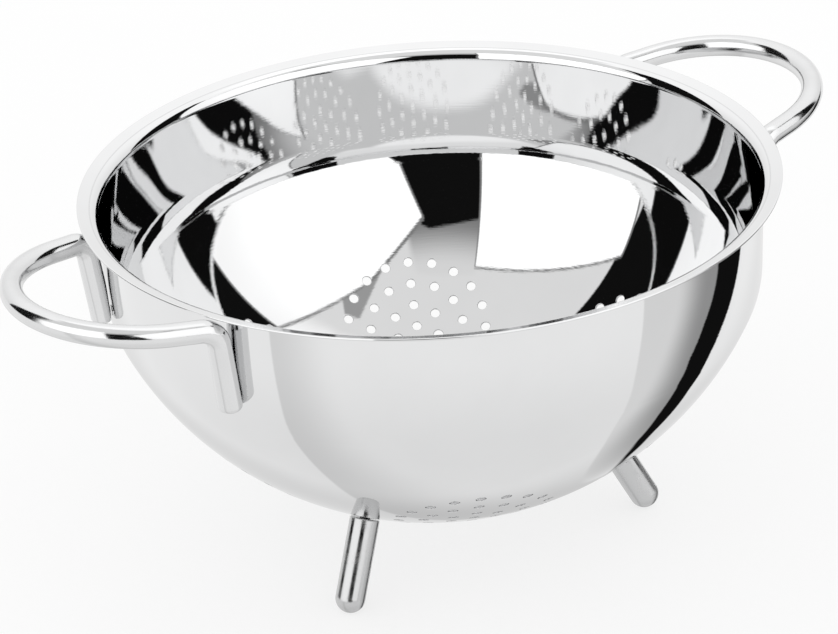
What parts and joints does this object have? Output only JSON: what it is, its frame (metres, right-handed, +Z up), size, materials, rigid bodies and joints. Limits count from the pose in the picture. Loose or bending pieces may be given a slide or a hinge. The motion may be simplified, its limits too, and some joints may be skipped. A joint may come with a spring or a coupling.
{
  "type": "colander",
  "caption": "Mirror-polished steel colander: a deep round bowl with a flared rim, clusters of drain holes, bent-rod loop handles and splayed peg feet.",
  "frame": {"origin": "on the table, under the axis of the bowl", "axes": "+Z up along the bowl's axis, +X towards one handle, +Y along the rim square to the handles"},
  "size_m": [0.3336, 0.25, 0.1426],
  "materials": {
    "bowl_steel": "mirror polished",
    "rod_steel": "mirror polished",
    "foot_steel": "polished"
  },
  "bodies": {
    "root": {"bowl": "bowl_steel", "handle_right": "rod_steel", "handle_left": "rod_steel", "foot_back": "foot_steel", "foot_left": "foot_steel", "foot_right": "foot_steel"}
  },
  "joints": []
}
